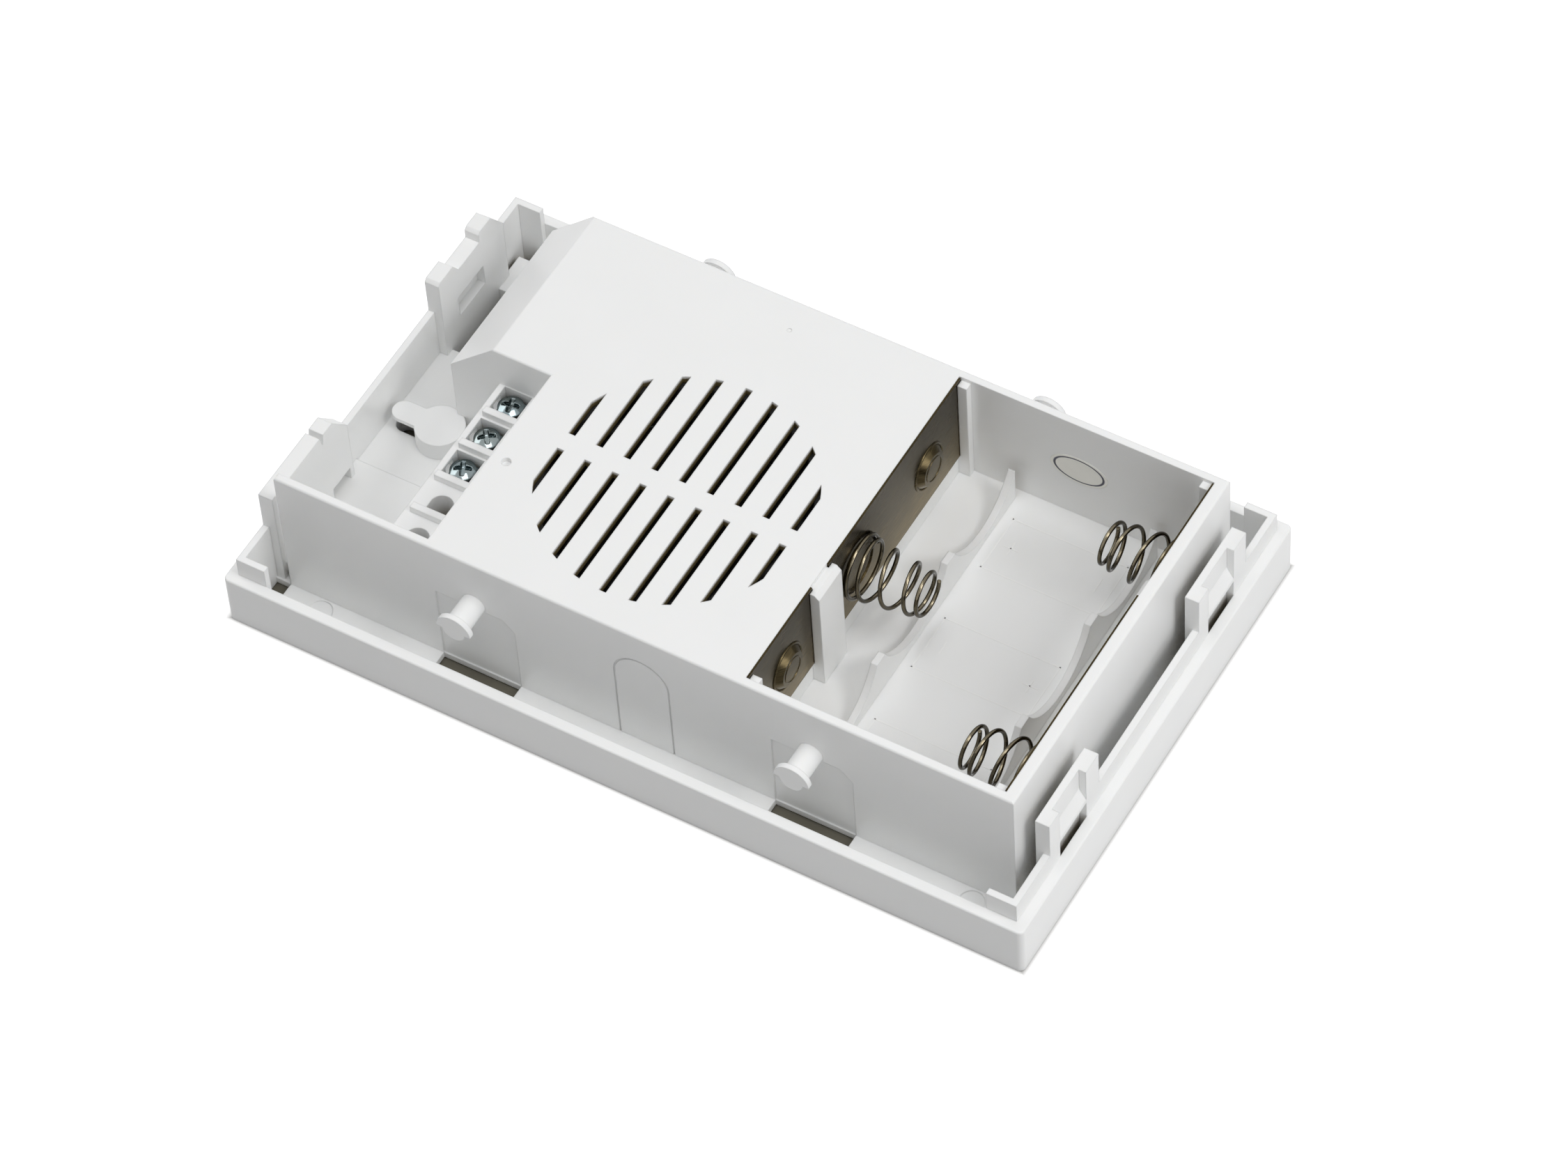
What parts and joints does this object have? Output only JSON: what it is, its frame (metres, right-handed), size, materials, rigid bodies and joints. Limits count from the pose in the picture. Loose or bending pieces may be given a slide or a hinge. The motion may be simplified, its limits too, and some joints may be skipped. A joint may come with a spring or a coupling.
{
  "type": "doorbell chime box",
  "caption": "White battery doorbell chime base, front cover off, with grille, screw terminals and an open C-cell bay with springs.",
  "frame": {"origin": "centre of the back face, on the wall", "axes": "+Z away from the wall, +X along the long side from the wiring end to the battery end"},
  "size_m": [0.175, 0.1076, 0.0345],
  "materials": {
    "white_plastic": "satin",
    "zinc_steel": "satin",
    "nickel_sheet": "satin",
    "spring_wire": "polished",
    "plated_brass": "satin",
    "board_laminate": "matte",
    "black_resin": "satin",
    "capacitor_sleeve": "satin",
    "resistor_coat": "matte",
    "ceramic_coat": "matte",
    "black_foam": "matte",
    "ferrite": "matte",
    "coil_paper": "matte",
    "copper_wire": "satin",
    "speaker_paper": "matte",
    "speaker_rubber": "satin",
    "spider_cloth": "matte",
    "lug_laminate": "matte",
    "label_paper": "matte"
  },
  "bodies": {
    "base": {"base_moulding": "white_plastic", "rear_cover": "white_plastic", "rear_cover_screws": "zinc_steel", "contact_plate_left_long": "nickel_sheet", "contact_plate_left_front": "nickel_sheet", "contact_plate_right_long": "nickel_sheet", "contact_plate_right_rear": "nickel_sheet", "spring_left_middle": "spring_wire", "spring_right_rear": "spring_wire", "spring_right_front": "spring_wire", "terminal_posts": "plated_brass", "circuit_board": "board_laminate", "board_screws": "zinc_steel", "melody_chip": "black_resin", "supply_capacitor": "capacitor_sleeve", "output_capacitor": "capacitor_sleeve", "drive_transistors": "black_resin", "resistors": "resistor_coat", "disc_capacitors": "ceramic_coat", "speaker_gasket": "black_foam", "speaker_basket": "zinc_steel", "speaker_pole_plate": "zinc_steel", "speaker_magnet": "ferrite", "speaker_yoke": "zinc_steel", "speaker_surround": "speaker_rubber", "speaker_spider": "spider_cloth", "speaker_lug_board": "lug_laminate", "speaker_lugs": "nickel_sheet", "speaker_clamp_washers": "zinc_steel", "speaker_clamp_screws": "zinc_steel", "inspection_label": "label_paper"},
    "clamp_1": {"clamp_plate_1": "zinc_steel"},
    "screw_1": {"terminal_screw_1": "zinc_steel"},
    "clamp_2": {"clamp_plate_2": "zinc_steel"},
    "screw_2": {"terminal_screw_2": "zinc_steel"},
    "clamp_3": {"clamp_plate_3": "zinc_steel"},
    "screw_3": {"terminal_screw_3": "zinc_steel"},
    "speaker_diaphragm": {"voice_coil_former": "coil_paper", "voice_coil_winding": "copper_wire", "speaker_cone": "speaker_paper", "speaker_dust_cap": "speaker_paper"}
  },
  "joints": [
    {"name": "clamp_1_lift", "type": "slide", "parent": "base", "child": "clamp_1", "axis": [0, 0, 1], "range_m": [0, 0.0025]},
    {"name": "screw_1_turn", "type": "hinge", "parent": "clamp_1", "child": "screw_1", "pos_m": [-0.0548, 0.00085, 0.0246], "axis": [0, 0, 1], "range_deg": [0, 1800]},
    {"name": "clamp_2_lift", "type": "slide", "parent": "base", "child": "clamp_2", "axis": [0, 0, 1], "range_m": [0, 0.0025]},
    {"name": "screw_2_turn", "type": "hinge", "parent": "clamp_2", "child": "screw_2", "pos_m": [-0.0548, -0.00795, 0.0246], "axis": [0, 0, 1], "range_deg": [0, 1800]},
    {"name": "clamp_3_lift", "type": "slide", "parent": "base", "child": "clamp_3", "axis": [0, 0, 1], "range_m": [0, 0.0025]},
    {"name": "screw_3_turn", "type": "hinge", "parent": "clamp_3", "child": "screw_3", "pos_m": [-0.0548, -0.01675, 0.0246], "axis": [0, 0, 1], "range_deg": [0, 1800]},
    {"name": "diaphragm_stroke", "type": "slide", "parent": "base", "child": "speaker_diaphragm", "axis": [0, 0, 1], "range_m": [-0.0006, 0.0006], "stiffness_N_per_m": 900, "deforming": ["speaker_surround", "speaker_spider"]}
  ],
  "couplings": [
    {"joint": "screw_1_turn", "follows": "clamp_1_lift", "rad_per_m": 12566},
    {"joint": "screw_2_turn", "follows": "clamp_2_lift", "rad_per_m": 12566},
    {"joint": "screw_3_turn", "follows": "clamp_3_lift", "rad_per_m": 12566}
  ]
}
